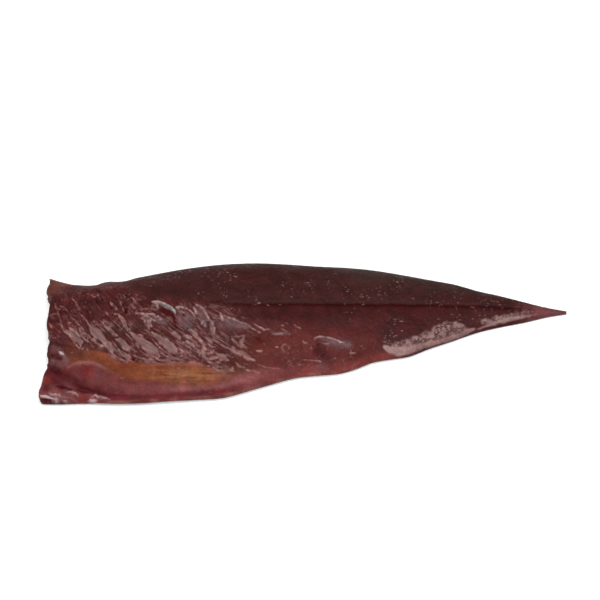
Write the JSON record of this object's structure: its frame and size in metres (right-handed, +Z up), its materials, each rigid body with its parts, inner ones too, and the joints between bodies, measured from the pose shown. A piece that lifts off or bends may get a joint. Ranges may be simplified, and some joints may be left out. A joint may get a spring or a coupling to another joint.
{
  "type": "mackerel fillet",
  "caption": "Raw mackerel fillet lying skin side down: thick loin along the backbone line, ribbed belly cavity, thin belly flap, torn head cut and pointed tail.",
  "frame": {"origin": "middle of the footprint on the surface that the fillet lies on", "axes": "+X along the fillet from the head cut to the tail, +Y from the belly edge to the back edge, +Z up from the skin side to the flesh side"},
  "size_m": [0.2503, 0.0834, 0.0158],
  "materials": {
    "flesh": "wet gloss"
  },
  "bodies": {
    "root": {"mackerel_fillet": "flesh"}
  },
  "joints": []
}
